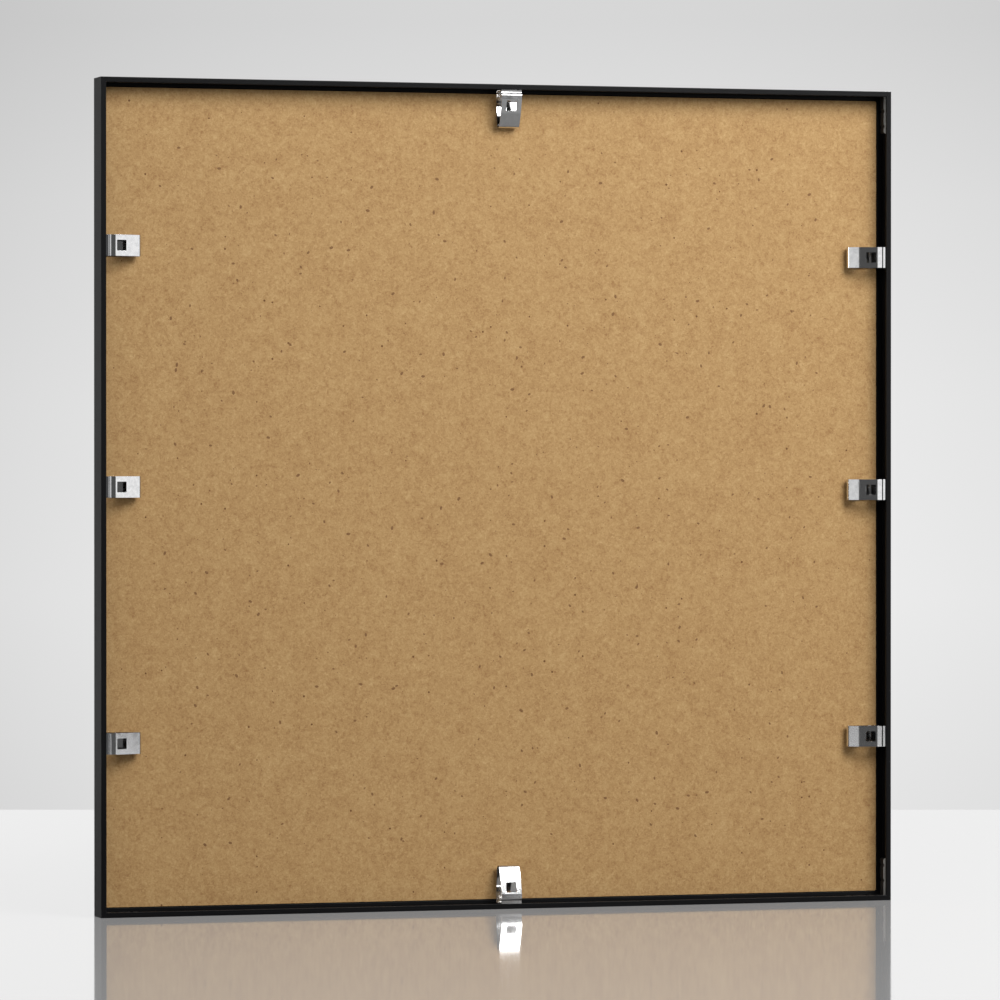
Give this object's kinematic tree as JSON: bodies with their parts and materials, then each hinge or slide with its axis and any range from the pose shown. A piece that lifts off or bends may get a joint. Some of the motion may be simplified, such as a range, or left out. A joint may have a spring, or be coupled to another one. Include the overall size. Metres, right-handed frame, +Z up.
{
  "type": "picture frame",
  "caption": "Square aluminium-profile picture frame, its backing board pressed against picture and pane by folded spring clips that slide out from under the back lip.",
  "frame": {"origin": "middle of the frame's footprint on the surface it stands on, under the bottom rail", "axes": "+X to the right as seen from the front, +Y from the picture's face to the back, +Z up"},
  "size_m": [0.511, 0.0198, 0.511],
  "materials": {
    "black_anodised_aluminium": "matt black anodised",
    "bracket_steel": "zinc plated",
    "pane_glass": "clear, polished",
    "sheet_paper": "plain paper",
    "hardboard": "rough side of brown hardboard",
    "spring_steel": "bright plated spring steel"
  },
  "bodies": {
    "frame": {"rail_bottom": "black_anodised_aluminium", "rail_top": "black_anodised_aluminium", "rail_left": "black_anodised_aluminium", "rail_right": "black_anodised_aluminium", "corner_bracket_bottom_left": "bracket_steel", "corner_bracket_bottom_right": "bracket_steel", "corner_bracket_top_left": "bracket_steel", "corner_bracket_top_right": "bracket_steel", "glazing_pane": "pane_glass", "insert_sheet": "sheet_paper", "backing_board": "hardboard"},
    "clip_left_upper": {"clip_left_upper": "spring_steel"},
    "clip_left_middle": {"clip_left_middle": "spring_steel"},
    "clip_left_lower": {"clip_left_lower": "spring_steel"},
    "clip_right_upper": {"clip_right_upper": "spring_steel"},
    "clip_right_middle": {"clip_right_middle": "spring_steel"},
    "clip_right_lower": {"clip_right_lower": "spring_steel"},
    "clip_top": {"clip_top": "spring_steel"},
    "clip_bottom": {"clip_bottom": "spring_steel"}
  },
  "joints": [
    {"name": "clip_left_upper_slide", "type": "slide", "parent": "frame", "child": "clip_left_upper", "axis": [1, 0, 0], "range_m": [-0.0009, 0.008]},
    {"name": "clip_left_middle_slide", "type": "slide", "parent": "frame", "child": "clip_left_middle", "axis": [1, 0, 0], "range_m": [-0.0009, 0.008]},
    {"name": "clip_left_lower_slide", "type": "slide", "parent": "frame", "child": "clip_left_lower", "axis": [1, 0, 0], "range_m": [-0.0009, 0.008]},
    {"name": "clip_right_upper_slide", "type": "slide", "parent": "frame", "child": "clip_right_upper", "axis": [-1, 0, 0], "range_m": [-0.0009, 0.008]},
    {"name": "clip_right_middle_slide", "type": "slide", "parent": "frame", "child": "clip_right_middle", "axis": [-1, 0, 0], "range_m": [-0.0009, 0.008]},
    {"name": "clip_right_lower_slide", "type": "slide", "parent": "frame", "child": "clip_right_lower", "axis": [-1, 0, 0], "range_m": [-0.0009, 0.008]},
    {"name": "clip_top_slide", "type": "slide", "parent": "frame", "child": "clip_top", "axis": [0, 0, -1], "range_m": [-0.0009, 0.008]},
    {"name": "clip_bottom_slide", "type": "slide", "parent": "frame", "child": "clip_bottom", "axis": [0, 0, 1], "range_m": [-0.0009, 0.008]}
  ]
}
